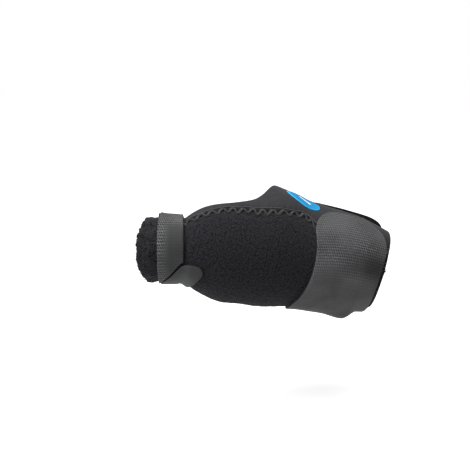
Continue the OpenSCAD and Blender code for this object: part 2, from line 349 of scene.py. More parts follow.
def laid(name, x, angle, outer, inner, material, reach=short_reach):
    """A piece of cloth laid on the form between two depths."""
    x, angle = np.broadcast_arrays(np.asarray(x, float), np.asarray(angle, float))
    top = at_depth(x, angle, np.broadcast_to(outer, x.shape), reach)
    under = at_depth(x, angle, np.broadcast_to(inner, x.shape), reach)
    return closed_sheet(name, top, under, cloth_uv(x, angle), material)


def tubes(name, paths, radius, material, sides=6):
    """Round threads along paths, each an array of points, drawn in at both ends."""
    points, quads, uv = [], [], []
    base = 0
    leaning = np.array([0.31, 0.53, 0.79])  # no path runs along it
    turn = np.linspace(0, 2 * math.pi, sides, endpoint=False)
    for path in paths:
        path = np.asarray(path, float)
        n = len(path)
        along = unit(np.gradient(path, axis=0))
        side = unit(np.cross(along, leaning))
        over = np.cross(along, side)
        taper = np.minimum(1, np.sqrt(np.minimum(np.arange(n), n - 1 - np.arange(n)) / 1.5) + 0.15)
        r = (radius * taper)[:, None, None]
        ring = path[:, None] + r * (side[:, None] * np.cos(turn)[None, :, None]
                                    + over[:, None] * np.sin(turn)[None, :, None])
        points.append(ring.reshape(-1, 3))
        uv.append(np.stack(np.broadcast_arrays(
            np.linspace(0, 1, n)[:, None] * n * 0.5, np.arange(sides)[None, :] * 0.2), -1).reshape(-1, 2))
        i, j = np.meshgrid(np.arange(n - 1), np.arange(sides), indexing="ij")
        a, b = (i * sides + j).ravel(), (i * sides + (j + 1) % sides).ravel()
        quads.append(np.stack([a, b, b + sides, a + sides], 1) + base)
        fan = np.array([(0, k, k + 1, k + 2) for k in range(1, sides - 2, 2)])
        quads.append(fan[:, ::-1] + base)
        quads.append(fan + base + (n - 1) * sides)
        base += n * sides
    return make_mesh(name, np.concatenate(points), np.concatenate(quads), np.concatenate(uv), material)


# ---------------------------------------------------------------- materials


class Shader:
    """Short names for building one node material."""

    def __init__(self, name, **principled):
        self.material = bpy.data.materials.new(name)
        self.material.use_nodes = True
        self.tree = self.material.node_tree
        self.surface = self.tree.nodes["Principled BSDF"]
        for socket, value in principled.items():
            self.surface.inputs[socket.replace("_", " ")].default_value = value

    def add(self, kind, settings=None, **inputs):
        """A node with these settings and inputs. i0, i1 and so on name an input by its number."""
        made = self.tree.nodes.new("ShaderNode" + kind)
        for key, value in (settings or {}).items():
            setattr(made, key, value)
        for key, value in inputs.items():
            numbered = key[0] == "i" and key[1:].isdigit()
            socket = made.inputs[int(key[1:]) if numbered else key.replace("_", " ")]
            if isinstance(value, bpy.types.NodeSocket):
                self.tree.links.new(value, socket)
            else:
                socket.default_value = value
        return made

    def cloth(self, turn=0.0, scale=(1, 1, 1)):
        """Cloth position in millimetres."""
        uv = self.add("UVMap", {"uv_map": "cloth"}).outputs[0]
        return self.add("Mapping", Vector=uv, Rotation=(0, 0, math.radians(turn)), Scale=scale).outputs[0]

    def math(self, operation, a, b=0.0):
        return self.add("Math", {"operation": operation}, i0=a, i1=b).outputs[0]

    def noise(self, where, scale, detail=4.0, roughness=0.6):
        made = self.add("TexNoise", Vector=where, Scale=scale, Detail=detail, Roughness=roughness)
        return made.outputs["Fac"]

    def cells(self, where, scale, randomness=1.0):
        made = self.add("TexVoronoi", {"voronoi_dimensions": "2D", "feature": "F1"},
                        Vector=where, Scale=scale, Randomness=randomness)
        return made.outputs["Distance"]

    def remap(self, value, low, high, to_low=0.0, to_high=1.0):
        return self.add("MapRange", Value=value, From_Min=low, From_Max=high,
                        To_Min=to_low, To_Max=to_high).outputs[0]

    def mix(self, amount, a, b):
        made = self.add("Mix", {"data_type": "RGBA"})
        for key, value in (("Factor", amount), ("A", a), ("B", b)):
            socket = next(s for s in made.inputs if s.name == key and s.enabled)
            if isinstance(value, bpy.types.NodeSocket):
                self.tree.links.new(value, socket)
            else:
                socket.default_value = value
        return next(s for s in made.outputs if s.enabled)

    def set(self, socket, value):
        self.tree.links.new(value, self.surface.inputs[socket])

    def bump(self, height, distance, strength=1.0):
        return self.add("Bump", Height=height, Distance=distance * MM, Strength=strength).outputs[0]


def grey(value, warm=0.0, blue=0.0):
    """A grey, with a little more red or blue."""
    return (value + warm, value, value + blue, 1)


def brighter(colour, times):
    return tuple(times * c for c in colour[:3]) + (1,)


def loop_pile(name, dark, light, size=1.0, relief=0.5):
    """Dense pile of tiny loops: soft random cells, clumps, and a few loops that catch the light."""
    s = Shader(name, Roughness=0.95, Specular_IOR_Level=0.12, Sheen_Weight=0.06, Sheen_Roughness=0.5)
    where = s.cloth()
    clump = s.noise(where, 0.5 / size, 3.0, 0.7)
    loops = s.math("SUBTRACT", 1.0, s.cells(where, 1.0 / size))
    fine = s.noise(where, 1.7 / size, 2.0, 0.7)
    height = s.math("ADD", s.math("MULTIPLY", loops, 0.45),
                    s.math("ADD", s.math("MULTIPLY", fine, 0.65), s.math("MULTIPLY", clump, 0.45)))
    caught = s.remap(s.cells(s.cloth(turn=31), 0.62 / size), 0.16, 0.05)
    shade = s.mix(s.remap(height, 0.62, 1.02), dark, light)
    s.set("Base Color", s.mix(s.math("MULTIPLY", caught, 0.5), shade, brighter(light, 2.6)))
    s.set("Normal", s.bump(height, relief, 1.0))
    return s.material


def smooth_knit(name, dark, light):
    """Fine stretch jersey: narrow ribs of tiny stitches."""
    s = Shader(name, Roughness=0.8, Specular_IOR_Level=0.25, Sheen_Weight=0.08, Sheen_Roughness=0.4)
    slant = 8
    where = s.cloth(turn=slant)
    stitch = s.math("SUBTRACT", 1.0, s.cells(s.cloth(turn=slant, scale=(1.0, 1.5, 1)), 1.1, 0.3))
    mottled = s.noise(where, 0.3, 4.0, 0.6)
    fine = s.noise(where, 2.0, 2.0, 0.6)
    height = s.math("ADD", stitch, s.math("MULTIPLY", fine, 0.5))
    shade = s.math("ADD", s.math("MULTIPLY", mottled, 0.5), s.math("MULTIPLY", height, 0.5))
    s.set("Base Color", s.mix(s.remap(shade, 0.55, 1.05), dark, light))
    s.set("Normal", s.bump(height, 0.12, 0.6))
    return s.material


mesh_row = 1.36  # millimetres between the rows of pits
mesh_pitch = 1.06  # and between the pits of a row
rib_pitch = 1.1


def strap_knit(name, dark, light, pit, strong, painted_shade_mask):
    """Grey mesh knit: rows of small pits between raised loops, with a painted highlight on the loops. From
    the cloth position, strong() says where the pits are deep and where the knit is pressed smooth, and the
    last mask where shade is painted on in a darker grey."""
    s = Shader(name, Roughness=0.7, Specular_IOR_Level=0.3, Sheen_Weight=0.08, Sheen_Roughness=0.35)
    where = s.cloth()
    parts = s.add("SeparateXYZ", Vector=where)
    along, round_ = parts.outputs[0], parts.outputs[1]
    mask = strong(s, along, round_)
    worn = s.remap(s.noise(where, 0.1, 2.0, 0.5), 0.36, 0.58, 0.35, 1.0)
    mask = s.math("MULTIPLY", mask, worn)
    row = s.math("DIVIDE", round_, mesh_row)
    place = s.math("ADD", s.math("DIVIDE", along, mesh_pitch), s.math("MULTIPLY", row, 0.55))
    cell = s.cells(s.add("CombineXYZ", X=place, Y=row).outputs[0], 1.0, 0.14)
    pits = s.remap(cell, 0.2, 0.38, 1.0, 0.0)
    loops = s.remap(cell, 0.46, 0.68)
    fine = s.noise(where, 2.4, 3.0, 0.65)
    rib = s.math("SINE", s.math("MULTIPLY", round_, 2 * math.pi / rib_pitch))
    shown = s.math("MULTIPLY", pits, s.math("ADD", s.math("MULTIPLY", mask, 0.9), 0.1))
    loop_bump_and_highlight = s.math("MULTIPLY", loops, mask)
    faded = s.remap(s.noise(s.cloth(turn=20), 0.07, 2.0, 0.5), 0.35, 0.65)
    cloth = s.mix(s.remap(s.math("ADD", fine, s.math("MULTIPLY", faded, 0.5)), 0.45, 0.95), dark, light)
    # Painted highlight: the raised loops are drawn in a much lighter grey.
    cloth = s.mix(s.math("MULTIPLY", loop_bump_and_highlight, 0.8), cloth, brighter(light, 2.9))
    # Painted shade: the last mask darkens the knit where shade falls on the strap.
    cloth = s.mix(painted_shade_mask(s, along, round_), cloth, brighter(dark, 0.5))
    s.set("Base Color", s.mix(shown, cloth, pit))
    height = s.math("ADD", s.math("MULTIPLY", fine, 0.3), s.math("MULTIPLY", rib, 0.05))
    height = s.math("ADD", s.math("SUBTRACT", height, shown), s.math("MULTIPLY", loop_bump_and_highlight, 0.5))
    s.set("Normal", s.bump(height, 0.16, 0.8))
    return s.material


def foam_edge(name, colour):
    """Closed-cell neoprene, seen at the cut edges."""
    s = Shader(name, Roughness=0.85, Specular_IOR_Level=0.25)
    cells = s.cells(s.cloth(), 2.6)
    s.set("Base Color", s.mix(s.remap(cells, 0.0, 0.6), colour, grey(0.016, blue=0.001)))
    s.set("Normal", s.bump(cells, 0.08, 0.5))
    return s.material


def thread_twist(name, dark, light):
    """Twisted sewing thread."""
    s = Shader(name, Roughness=0.6, Specular_IOR_Level=0.35, Sheen_Weight=0.2)
    parts = s.add("SeparateXYZ", Vector=s.cloth())
    slant = s.math("ADD", parts.outputs[0], s.math("MULTIPLY", parts.outputs[1], 0.8))
    twist = s.math("SINE", s.math("MULTIPLY", slant, 24.0))
    s.set("Base Color", s.mix(s.remap(twist, -1.0, 1.0), dark, light))
    s.set("Normal", s.bump(twist, 0.05, 0.6))
    return s.material


def hook_tape(name):
    """Moulded hook tape: a dense field of tiny stems."""
    s = Shader(name, Roughness=0.5, Specular_IOR_Level=0.4)
    stems = s.cells(s.cloth(turn=3), 1.0, 0.2)
    tips = s.remap(stems, 0.18, 0.36, 1.0, 0.0)
    s.set("Base Color", s.mix(tips, grey(0.004), grey(0.035, blue=0.003)))
    s.set("Normal", s.bump(tips, 0.4, 0.9))
    return s.material


def label_print(name, half, blue, rim, mark):
    """Blue oval with a slightly paler rim and a plain white bar in the middle."""
    s = Shader(name, Roughness=0.4, Specular_IOR_Level=0.4)
    where = s.cloth()
    parts = s.add("SeparateXYZ", Vector=where)
    across = s.math("DIVIDE", parts.outputs[0], float(half[0]))
    up = s.math("DIVIDE", parts.outputs[1], float(half[1]))
    radius = s.math("SQRT", s.math("ADD", s.math("MULTIPLY", across, across), s.math("MULTIPLY", up, up)))
    bar = s.math("MULTIPLY", s.remap(s.math("ABSOLUTE", across), 0.40, 0.36),
                 s.remap(s.math("ABSOLUTE", up), 0.17, 0.12))
    s.set("Base Color", s.mix(s.remap(radius, 0.88, 0.94), s.mix(bar, blue, mark), rim))
    s.set("Normal", s.bump(s.noise(where, 2.0), 0.02, 0.3))
    return s.material


# The four masks below take the cloth position: millimetres along the limb, and round it.


def pressed_low(s, along, round_):
    """Where the wrist strap's mesh is deep: over the palm side of its free end."""
    patch = s.math("MULTIPLY", s.remap(along, -24.0, -14.0), s.remap(round_, 27.0, 22.0))
    depth = s.math("ADD", s.math("MULTIPLY", patch, 0.4), 0.62)
    return s.math("MULTIPLY", s.remap(round_, 6.0, 17.0, 0.08, 1.0), depth)


def rim_painted_shade(s, along, round_):
    """Painted shade: a darker band of the wrist strap, by the rim."""
    band = s.math("MULTIPLY", s.remap(round_, 7.0, 13.0), s.remap(round_, 24.0, 18.0))
    return s.math("MULTIPLY", band, s.remap(along, -24.0, -8.0, 0.0, 0.95))


def middle_painted_shade(s, along, round_):
    """Painted shade: the thumb strap is drawn darkest in its middle."""
    band = s.math("MULTIPLY", s.remap(round_, -10.0, -3.0), s.remap(round_, 20.0, 16.0))
    return s.math("MULTIPLY", band, s.remap(along, -104.0, -100.5, 0.0, 0.8))


def pressed_middle(s, along, round_):
    """Where the thumb strap's mesh is deep: at the top and along its outer edge."""
    top = s.remap(round_, 15.0, 19.0)
    edge = s.remap(along, -101.5, -104.0)
    return s.math("MAXIMUM", s.math("MAXIMUM", top, edge), 0.15)


PILE = loop_pile("loop_pile", grey(0.002, blue=0.001), grey(0.025, blue=0.005), size=0.72, relief=0.5)
SLEEVE_PILE = loop_pile("sleeve_pile", grey(0.004, warm=0.0005, blue=0.001),
                        grey(0.026, warm=0.001, blue=0.004), size=0.85, relief=0.6)
KNIT = smooth_knit("smooth_knit", grey(0.014, blue=0.003), grey(0.034, warm=0.001, blue=0.005))
PIT = grey(0.006)
STRAP = strap_knit("strap_knit", grey(0.044, blue=0.002), grey(0.072, blue=0.003), PIT,
                   pressed_low, rim_painted_shade)
THUMB_STRAP = strap_knit("thumb_strap_knit", grey(0.042, warm=-0.001), grey(0.07, warm=-0.001), PIT,
                         pressed_middle, middle_painted_shade)
FIBRE = thread_twist("loose_fibre", grey(0.004), grey(0.014, blue=0.001))
# Near-black thread material for a painted shadow, laid beside the palm seam's zigzag where the stitches shade
# the pile.
STITCH_SHADOW = thread_twist("stitch_shadow_thread", grey(0.0015), grey(0.004))
BEAD = thread_twist("bead_thread", grey(0.035, blue=0.002), grey(0.075, blue=0.004))
FOAM = foam_edge("neoprene", grey(0.004))
TERRY = loop_pile("terry", grey(0.012, blue=0.001), grey(0.045, blue=0.004), size=1.5, relief=0.8)
THREAD = thread_twist("thread", grey(0.02, blue=0.002), grey(0.06, blue=0.005))
STRAP_THREAD = thread_twist("strap_thread", grey(0.1), grey(0.22))
HOOKS = hook_tape("hook_tape")

# ---------------------------------------------------------------- body panels

step = 0.45
palmar_step = 0.6
radial_width = 95
palmar_width = 46
rim_width = 80
seam_length = 98
pile_edge = 0.35  # radius of the cut edge of each cloth
knit_edge = 0.3
sleeve_edge = 0.4


def count(length, size=None):
    """An odd number of grid points, about one size apart."""
    return max(3, 2 * int(round(length / (size or step) / 2)) + 1)


def seam_line(x):
    """Angle of the palm seam."""
    return through(PALMAR_SEAM, x)[..., 1]


stitch_pitch = 4.4
zigzag = 2.25  # half the width of a zigzag
thread_aside = -1.7  # of the palm seam, on the loop pile
# Millimetres aside of the palm seam for the near-black thread that paints the stitches' shadow.
shadow_aside = -2.4


def seam_dip(x, angle, seam, strength=0.45):
    """Groove along a seam, with a pucker at each stitch."""
    away = (angle - seam) * girth(x)
    groove = bell(away / 0.9) * strength
    pucker = bell(away / 2.6) * 0.16 * (1 + np.cos(4 * math.pi * x / stitch_pitch))
    return groove + pucker


def face_edge(x):
    """The cloth face stops a little before the foam at the wrist rim, so that the foam shows."""
    return x - 0.3 * soft_step(x - rim_x + 1)


def body_relief(x, angle):
    """Gentle unevenness of the worn laminate."""
    v = angle * girth(x)
    return 0.22 * rough(x, v, 16.0, 3, 2)


def radial_panel():
    """Face, foam and lining from the back seam round the thumb side to the palm seam."""
    rows, cols = count(rim_x - panel_x), count(radial_width)
    x = np.linspace(panel_x, rim_x, rows)[:, None] + np.zeros((1, cols))
    t = np.linspace(0, 1, cols)[None, :]
    angle = lerp(dorsal_seam + seam_gap, seam_line(x) - seam_gap, t)
    shape = body_relief(x, angle)
    inside = border(x.shape, 2, ("start", "end"))
    v = angle * girth(x)
    pile = 0.13 * rough(x, v, 1.3, 11, 2)
    dips = seam_dip(x, angle, seam_line(x) - 2 / girth(x), 0.35) + seam_dip(x, angle, dorsal_seam)
    top = body_out + shape + pile - dips - rounding(inside, pile_edge)
    middle = face_in + shape - 0.4 * dips
    face = laid("radial_panel_face", face_edge(x), angle, top, middle, PILE)
    foam = laid("radial_panel_foam", x[::2, ::2], angle[::2, ::2], middle[::2, ::2] - layer_air, foam_in,
                FOAM)
    lining = laid("radial_panel_lining", x, angle, foam_in - layer_air, 0.1 * rough(x, v, 1.1, 21, 2), TERRY)
    return face, foam, lining


def palmar_grid(scale):
    """The outer and inner border of the palmar panel, point for point: x and angle from the palm seam by the
    wrist rim to the back seam, and round the hand opening."""
    side_rows = count(opening_corner_x - panel_x, scale)
    side = np.linspace(panel_x, opening_corner_x, side_rows)[:-1]
    run = np.linspace(opening_corner_x, rim_x, count(rim_x - opening_corner_x, scale))[:-1]
    rim = np.linspace(0, 1, count(rim_width, scale))
    back_angle = dorsal_seam + 360 - seam_gap

    def seam_edge(v):
        return np.stack([v, seam_line(v) + seam_gap], -1)

    def back_edge(v):
        return np.stack([v, np.full_like(v, back_angle)], -1)

    corner = seam_edge(np.array([rim_x]))[0]
    far = back_edge(np.array([rim_x]))[0]
    outer = np.concatenate([
        seam_edge(side),
        seam_edge(run),
        lerp(corner, far, rim[:, None]),
        back_edge(run[::-1]),
        back_edge(side[::-1]),
    ])
    turn = np.linspace(0, 1, len(outer) - 2 * len(side))
    wrist_side = opening_corner_x + opening_bulge * np.sin(math.pi * turn)
    inner = np.concatenate([
        through(OPENING_EDGE, side),
        np.stack([wrist_side, lerp(OPENING_EDGE[-1, 1], opening_back, turn)], -1),
        np.stack([side[::-1], np.full(len(side), float(opening_back))], -1),
    ])
    return outer, inner


def palmar_panel():
    """Face, foam and lining of the panel with the hand opening."""
    outer, inner = palmar_grid(step)
    cols = count(palmar_width, palmar_step)
    t = np.linspace(0, 1, cols)[None, :, None]
    grid = lerp(outer[:, None], inner[:, None], t)
    x, angle = grid[..., 0], grid[..., 1]
    shape = body_relief(x, angle)
    inside = np.minimum(border(x.shape, 1, ("start", "end")), border(x.shape, 2, ("high",)))
    dips = seam_dip(x, angle, seam_line(x)) + seam_dip(x, angle, dorsal_seam + 360)
    top = body_out + shape - dips - rounding(inside, knit_edge)
    middle = face_in + shape - 0.4 * dips
    face = laid("palmar_panel_face", face_edge(x), angle, top, middle, KNIT)
    foam = laid("palmar_panel_foam", x, angle, middle - layer_air, foam_in, FOAM)
    v = angle * girth(x)
    lining = laid("palmar_panel_lining", x, angle, foam_in - layer_air, 0.1 * rough(x, v, 1.1, 22, 2), TERRY)
    return face, foam, lining


sleeve_arc = 0.265  # millimetres per degree round the sleeve
fold_start = 9.5  # from the panels; the sleeve is crumpled further out


def rim_at(angle):
    """The cut rim of the sleeve: longest on the side of the thumb that faces the viewer, and uneven."""
    v = np.asarray(angle) * sleeve_arc
    near = np.cos(np.clip(np.radians(1.6 * (wrapped(angle) - 25)), -math.pi, math.pi))
    ragged = 0.4 * rough(v * 0 + 1.0, v, 1.5, 31, 3) + 0.3 * rough(v * 0 + 3.0, v, 5.0, 34, 2)
    return sleeve_rim + 2.4 - 2.45 * (1 + near) + ragged


def thumb_sleeve():
    """Face, foam and lining of the sleeve, crumpled and flared at its rim."""
    rows, cols = count(sleeve_end - sleeve_rim), count(360 * sleeve_arc)
    t = np.linspace(0, 1, rows)[:, None]
    angle = np.linspace(-97, 263, cols)[None, :]
    x = lerp(rim_at(angle), sleeve_end, t)
    angle = angle + np.zeros_like(x)
    v = angle * sleeve_arc
    fold = np.clip((sleeve_end - fold_start - x) / 5, 0, 1)
    wrinkle = noise(x * 0.55 + v * 0.6, v * 0.5 - x * 0.35, 2.6, 41) + 0.6 * noise(x + v, v - x, 3.4, 43)
    crumple = fold * (0.55 * wrinkle + 0.14 * rough(x, v, 1.2, 45, 2))
    inside = border(x.shape, 2, ("start",))
    pile = 0.12 * rough(x, v, 1.2, 47, 2)
    flare = fold**2 * 0.5
    top = body_out + crumple + pile + flare - rounding(inside, sleeve_edge)
    middle = face_in + crumple * 0.8 + flare
    face = laid("sleeve_face", x, angle, top, middle, SLEEVE_PILE)
    foam = laid("sleeve_foam", x, angle, middle - 2 * layer_air, foam_in, FOAM)
    lining = laid("sleeve_lining", x, angle, foam_in - layer_air, 0.08 * rough(x, v, 1.1, 23, 2), TERRY)
    return face, foam, lining


# ---------------------------------------------------------------- stitching

zigzag_radius = 0.25
sleeve_thread_radius = 0.22
bead_radius = 0.27
fibre_radius = 0.085


def zigzag_seam(name, seam, start, stop, aside=0.0, material=THREAD, radius=zigzag_radius, deeper=0.0):
    """Zigzag along a seam, or that many millimetres aside of it."""
    legs = 2 * int(round((stop - start) / stitch_pitch))
    xs = np.linspace(start, stop, legs + 1)
    paths = []
    wobble = np.random.default_rng(5).normal(0, 0.28, legs + 1)
    for k in range(legs):
        side = 1 if k % 2 == 0 else -1
        t = np.linspace(0.02, 0.98, 9)
        x = lerp(xs[k], xs[k + 1], t)
        base = seam(x)
        across = aside + lerp(side * zigzag + wobble[k], -side * zigzag + wobble[k + 1], t)
        lift = body_out - 0.02 + 0.2 * np.sin(math.pi * t) ** 0.5 - 0.33 * bell(across / 0.9)
        sunk_ends = 0.35 * (np.abs(t - 0.5) * 2) ** 6
        paths.append(at_depth(x, base + across / girth(x), lift - deeper - sunk_ends))
    return tubes(name, paths, radius, material, 8)


body_pieces = {
    "radial": radial_panel(),
    "palmar": palmar_panel(),
    "thumb_sleeve": thumb_sleeve(),
}
for cad, (face, foam, lining) in body_pieces.items():
    outside = "smooth_knit" if cad == "palmar" else "loop_pile"
    layers = ((face, "face", outside), (foam, "foam", "neoprene"), (lining, "lining", "terry"))
    for piece, layer, slot in layers:
        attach(piece, "splint")
        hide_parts(f"{cad}_{layer}")

palmar_thread = zigzag_seam("palmar_seam_thread", seam_line, panel_x + 0.6, rim_x - 1.2, thread_aside,
                            radius=0.2)
# Painted shadow: a thick near-black thread beside the zigzag stands where the stitches shade the pile.
stitch_shadow_thread = zigzag_seam("palmar_stitch_shadow", seam_line, panel_x + 0.9, rim_x - 0.9, shadow_aside, STITCH_SHADOW,
                            radius=0.5, deeper=0.1)


def seam_bead():
    """The rolled edge of the smooth panel along the palmar seam."""
    x = np.linspace(panel_x + 0.3, rim_x - 0.5, count(seam_length, 0.6))
    angle = seam_line(x) + (0.35 + 0.12 * noise(x, x * 0, 2.1, 83)) / girth(x)
    path = at_depth(x, angle, body_out - 0.02 + 0.06 * noise(x, x * 0, 1.3, 87))
    return tubes("seam_bead", [path], bead_radius, BEAD, 8)


bead = seam_bead()
dorsal_thread = zigzag_seam("dorsal_seam_thread", lambda x: np.full_like(x, dorsal_seam),
                            panel_x + 0.6, rim_x - 1.2)
tip_thread = zigzag_seam("sleeve_tip_thread", lambda x: 80 + 0.4 * (x + 110),
                         sleeve_rim + 1.6, wrap_left + 0.6)


def sleeve_seam():
    """Zigzag that joins the sleeve to the panels, under the thumb strap."""
    legs = 44
    turns = np.linspace(-126, 108, legs + 1)
    paths = []
    for k in range(legs):
        t = np.linspace(0.03, 0.97, 7)
        x = sleeve_end + lerp(0.9, -0.9, t) * (1 if k % 2 == 0 else -1)
        paths.append(at_depth(x, lerp(turns[k], turns[k + 1], t), body_out + 0.1 + 0.1 * np.sin(math.pi * t)))
    return tubes("sleeve_seam_thread", paths, sleeve_thread_radius, THREAD)


sleeve_thread = sleeve_seam()
for piece, cad in ((palmar_thread, "palmar_seam_stitches"), (dorsal_thread, "dorsal_seam_stitches"),
                   (sleeve_thread, "sleeve_seam_stitches"), (tip_thread, None), (stitch_shadow_thread, None),
                   (bead, None)):
    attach(piece, "splint")
    if cad:
        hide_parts(cad)


def rim_fibres():
    """Loose fibres along the sleeve's cut rim, most on the back of the thumb, and a tuft at the wrist."""
    chance = np.random.default_rng(71)
    sleeve_count = 190
    tuft_count, tuft_angle = 12, 38
    t = np.linspace(0, 1, 6)
    paths = []
    for _ in range(sleeve_count):
        angle = chance.choice([chance.normal(-60, 45), chance.normal(60, 70)])
        length = chance.uniform(0.6, 1.5) * (1.4 if abs(wrapped(angle) + 60) < 40 else 0.8)
        depth = chance.uniform(0.6, body_out + 0.1)
        start = rim_at(angle) + chance.uniform(0.1, 0.5)
        lean, lift = chance.normal(0, 3.5), chance.normal(0.2, 0.5)
        paths.append(at_depth(start - length * t, angle + lean * t**1.5, depth + lift * length * t**1.6))
    for _ in range(tuft_count):
        angle = tuft_angle + chance.normal(0, 1.6)
        length = chance.uniform(0.3, 1.0)
        paths.append(at_depth(rim_x - 0.2 + length * t, angle + chance.normal(0, 3) * t**1.5,
                              body_out - 0.6 + chance.uniform(0, 0.9) * t))
    return tubes("rim_fibres", paths, fibre_radius, FIBRE, 4)


fibres = rim_fibres()
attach(fibres, "splint")

# ---------------------------------------------------------------- wrist strap

# angle and x along the strap's hand edge, guessed at the back
STRAP_EDGE = np.array([[-240, -35.4], [-180, -36], [-120, -37], [-84, -37.2], [-62, -38.4], [-42, -39.4],
                       [-24, -38.2], [-9, -35.6], [3, -34.2], [20, -33.2], [40, -33.6], [54, -35],
                       [66, -36.2], [96, -36]])
strap_right = -0.7
# x, and how deep the sewn end is pressed there
PRESSED = np.array([[-37, 1.55], [-26, 0.95], [-12, 0], [-5, -0.5], [0.5, 1.3]])
root_end = -239
tip_end = 94
tip_round = (30, 61)  # degrees that the tip's two corners are drawn back
strap_cut = -35  # where its two pieces meet
strap_width = 38
strap_arc = 0.5  # millimetres per degree round the strap
bare_foam = 9  # degrees of foam that the face leaves bare at the sewn end
cloth_step = 0.5
strap_edge_round = 0.25
strap_in = 3.7
strap_mid = 5.1
strap_out = 5.6


def strap_edge(angle):
    """The wrist strap's hand edge."""
    return through(STRAP_EDGE, angle)[..., 1]


def rounded_end(w, left, right):
    """How far a round tip is drawn back, for w from -1 to 1 across the strap."""
    return np.where(w < 0, left, right) * (1 - np.sqrt(np.clip(1 - np.abs(w) ** 3, 0, 1)))


def sewn_down(x, angle):
    """How much the sewn end is pressed flat by its stitching, most at its hand-side corner."""
    near_cut = 1 - soft_step((angle - root_end - 12) / 26)
    return near_cut * through(PRESSED, x)[..., 1]


def wrist_strip(name, start, stop, end_round, sides):
    """Face and foam of the strap between two angles."""
    rows, cols = count(strap_width, cloth_step), count((stop - start) * strap_arc, cloth_step)
    w = np.linspace(-1, 1, rows)[:, None]
    draw = rounded_end(w, *tip_round) if end_round else 0 * w
    t = np.linspace(0, 1, cols)[None, :]
    sewn = start == root_end
    first = start + 6 * (1 - np.sqrt(np.clip(1 - np.abs(w) ** 6, 0, 1))) if sewn else start + 0 * w
    angle = lerp(first, stop - draw, t)
    x = lerp(strap_edge(angle), strap_right, (w + 1) / 2)
    v = angle * girth(x)
    drop = sewn_down(x, angle)
    drawn_in = 1.3 * soft_step((-24 - x) / 14) * bell((angle + 75) / 30)
    wave = 0.16 * rough(x, v, 11.0, 51, 2) - drawn_in
    inside = border(x.shape, 2, sides)
    bare = bare_foam * (1 - soft_step((angle - start) / 24)) if sewn else 0
    top = strap_out - drop + wave - rounding(inside, strap_edge_round)
    middle = strap_mid - drop + wave
    face = laid(name + "_face", x, angle + bare, top, middle, STRAP)
    foam = laid(name + "_foam", x, angle, middle - layer_air, strap_in, FOAM)
    return face, foam


near_face, near_foam = wrist_strip("wrist_strap_lower", root_end, strap_cut, False, ("start", "end", "low"))
tip_face, tip_foam = wrist_strip("wrist_strap_upper", strap_cut, tip_end, True, ("start", "end", "high"))


for piece in (near_face, near_foam):
    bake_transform(piece)
for piece in (tip_face, tip_foam):
    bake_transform(piece)
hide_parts("wrist_root_face", "wrist_strap_face")
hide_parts("wrist_root_foam", "wrist_strap_foam")
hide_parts("wrist_tip_face")
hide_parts("wrist_tip_foam")


hook_step = 0.7
hook_width, hook_length = 32, 18
hook_start, hook_stop = 24, 58
hook_sunk = 0.05  # into the foam


def wrist_hooks():
    """Hook tape inside the free end."""
    rows, cols = count(hook_width, hook_step), count(hook_length, hook_step)
    angle = np.linspace(hook_start, hook_stop, cols)[None, :] + np.zeros((rows, 1))
    x = lerp(strap_edge(angle) + 2, strap_right - 1.5, np.linspace(0, 1, rows)[:, None])
    return laid("wrist_hook_tape", x, angle, strap_in + hook_sunk, strap_in - 0.3, HOOKS)


wrist_tape = wrist_hooks()
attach(wrist_tape, "wrist_tip")
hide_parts("wrist_tip_hook")


box_stitch = 2.4
box_thread_radius = 0.24


def box_stitches():
    """A sewn box with a cross in it, at the strap's sewn end."""
    near, far = root_end + 12, root_end + 22
    left, right = STRAP_EDGE[0, 1] + 2.4, strap_right - 2
    corners = [(left, near), (right, near), (right, far), (left, far), (left, near)]
    legs = list(zip(corners[:-1], corners[1:])) + [(corners[0], corners[2]), (corners[1], corners[3])]
    paths = []
    hump = 0.12 * np.sin(np.linspace(0, math.pi, 6)) ** 0.6
    for (x0, angle0), (x1, angle1) in legs:
        stitches = int(math.hypot(x1 - x0, (angle1 - angle0) * strap_arc) / box_stitch)
        for k in range(stitches):
            t = (k + np.linspace(0.08, 0.82, 6)) / stitches
            x = lerp(x0, x1, t)
            angle = lerp(angle0, angle1, t)
            paths.append(at_depth(x, angle, strap_out - sewn_down(x, angle) - 0.2 + hump))
    return tubes("wrist_box_stitches", paths, box_thread_radius, STRAP_THREAD)


box_thread = box_stitches()
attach(box_thread, "splint")
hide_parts("wrist_root_stitches")

# ---------------------------------------------------------------- thumb strap

wrap_cut = 250  # where the strap's two pieces meet
flap_end = 6
tip_middle = 0.6  # the tip's furthest point, as a share of the width
strap_reach = 6
thumb_arc = 0.29  # millimetres per degree round the strap
thumb_step = 0.4
tab_width = 13
# x and angle of the edge where the strap goes under its free end
WRAP_START = np.array([[-107.5, -70], [-105.6, -52.5], [-103.2, -37], [-101, -26.5], [-97.8, -13],
                       [-94.8, -2.8], [-92.5, 4]])
# angle, and x of both edges of the free end
FLAP_EDGES = np.array([[-110, wrap_left, wrap_right], [-97, -106.3, -93.6], [-75, -106.2, -92.8],
                       [-55, -105.2, -91.3], [-39, -102.9, -89.6], [-28, -100.6, -87.9], [-15, -97.4, -86],
                       [-5, -94.4, -84.4], [8, -90.6, -83.2]])
wrap_in = 3.7
wrap_mid = 5.0
wrap_out = 5.5


def thumb_ripple(x, angle):
    """Small unevenness of the thumb strap, the same on both sides of the place where its pieces meet."""
    return 0.1 * rough(x, (angle % 360) * thumb_arc, 7.0, 61, 2)


